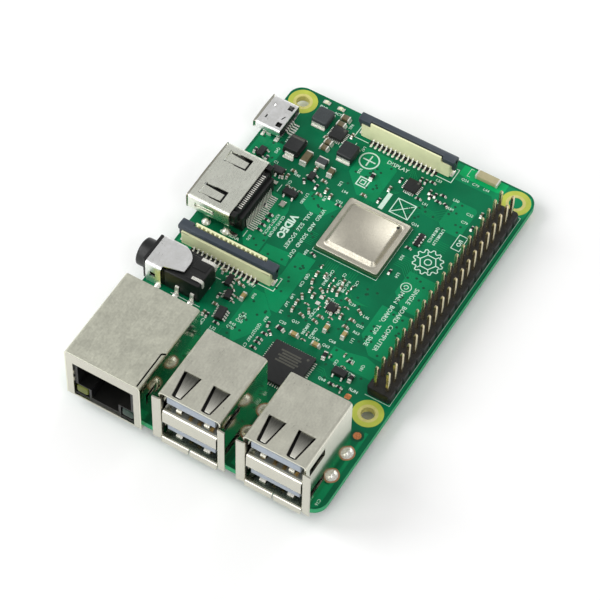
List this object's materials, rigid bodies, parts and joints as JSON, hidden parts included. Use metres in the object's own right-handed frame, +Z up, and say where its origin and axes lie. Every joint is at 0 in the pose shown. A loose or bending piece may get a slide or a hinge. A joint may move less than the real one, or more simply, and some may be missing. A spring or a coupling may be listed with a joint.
{
  "type": "single board computer",
  "caption": "Credit-card-sized computer on a green circuit board, with stacked USB and Ethernet sockets, video, power and audio sockets, ribbon connectors and a pin header.",
  "frame": {"origin": "centre of the footprint, on the surface that the soldered pin tips under the board rest on", "axes": "+X from the display connector end to the USB and Ethernet end, +Y from the video and power edge to the pin header edge, +Z up from the component side"},
  "size_m": [0.087, 0.0584, 0.0184],
  "materials": {
    "solder_mask": "green solder mask over fibreglass laminate, satin gloss, with lighter copper pours and a pale green cut edge",
    "nickel_shell": "satin nickel plating, faint mottling, brighter at bent edges",
    "contact_gold": "pale gold plating on the pins over a black base strip",
    "lid_metal": "warm grey satin nickel-plated copper",
    "black_plastic": "moulded glass-filled nylon, satin",
    "slate_plastic": "dark slate moulded plastic, satin",
    "beige_plastic": "pale beige moulded plastic, slightly translucent",
    "blue_grey_plastic": "blue-grey moulded contact carrier",
    "chip_black": "black mould compound, fine grain",
    "ferrite": "dark grey pressed ferrite powder",
    "ceramic_brown": "fired brown ceramic with tinned ends",
    "ceramic_white": "pale ceramic body",
    "laminate": "dark green package laminate",
    "lens_yellow": "tinted clear light guide, yellow-green",
    "lens_green": "tinted clear light guide, green",
    "fuse_green": "green coated fuse body"
  },
  "bodies": {
    "board": {"circuit_board": "solder_mask", "gpio_header": "contact_gold", "processor_substrate": "laminate", "processor_lid": "lid_metal", "usb_ethernet_chip": "chip_black", "core_regulator_chip": "chip_black", "power_switch_chip": "chip_black", "display_signal_chip": "chip_black", "header_regulator": "chip_black", "video_power_switch": "chip_black", "chip_antenna": "ceramic_white", "power_inductor_1": "ferrite", "power_inductor_2": "ferrite", "filter_inductor": "ferrite", "input_diode": "chip_black", "bulk_capacitor_1": "ceramic_brown", "bulk_capacitor_2": "ceramic_brown", "bulk_capacitor_3": "ceramic_brown", "bulk_capacitor_4": "ceramic_brown", "bulk_capacitor_5": "ceramic_brown", "bulk_capacitor_6": "ceramic_brown", "power_lamp": "ceramic_white", "activity_lamp": "ceramic_white", "memory_chip": "chip_black", "wireless_chip": "chip_black", "input_fuse": "fuse_green", "clock_crystal": "nickel_shell", "usb_pair_1_shell": "nickel_shell", "usb_pair_1_insert": "blue_grey_plastic", "usb_pair_1_divider": "nickel_shell", "usb_pair_2_shell": "nickel_shell", "usb_pair_2_insert": "blue_grey_plastic", "usb_pair_2_divider": "nickel_shell", "ethernet_shell": "nickel_shell", "ethernet_housing": "black_plastic", "ethernet_transformer": "ferrite", "ethernet_link_lamp": "lens_yellow", "ethernet_traffic_lamp": "lens_green", "video_shell": "nickel_shell", "video_insert": "black_plastic", "power_shell": "nickel_shell", "power_insert": "black_plastic", "audio_body": "black_plastic", "audio_saddle": "nickel_shell", "camera_connector_housing": "beige_plastic", "display_connector_housing": "beige_plastic", "card_cover": "nickel_shell", "card_bed": "black_plastic"},
    "camera_latch": {"camera_connector_actuator": "slate_plastic"},
    "display_latch": {"display_connector_actuator": "slate_plastic"}
  },
  "joints": [
    {"name": "camera_latch_slide", "type": "slide", "parent": "board", "child": "camera_latch", "axis": [0, 0, 1], "range_m": [0, 0.0012]},
    {"name": "display_latch_slide", "type": "slide", "parent": "board", "child": "display_latch", "axis": [0, 0, 1], "range_m": [0, 0.0012]}
  ]
}
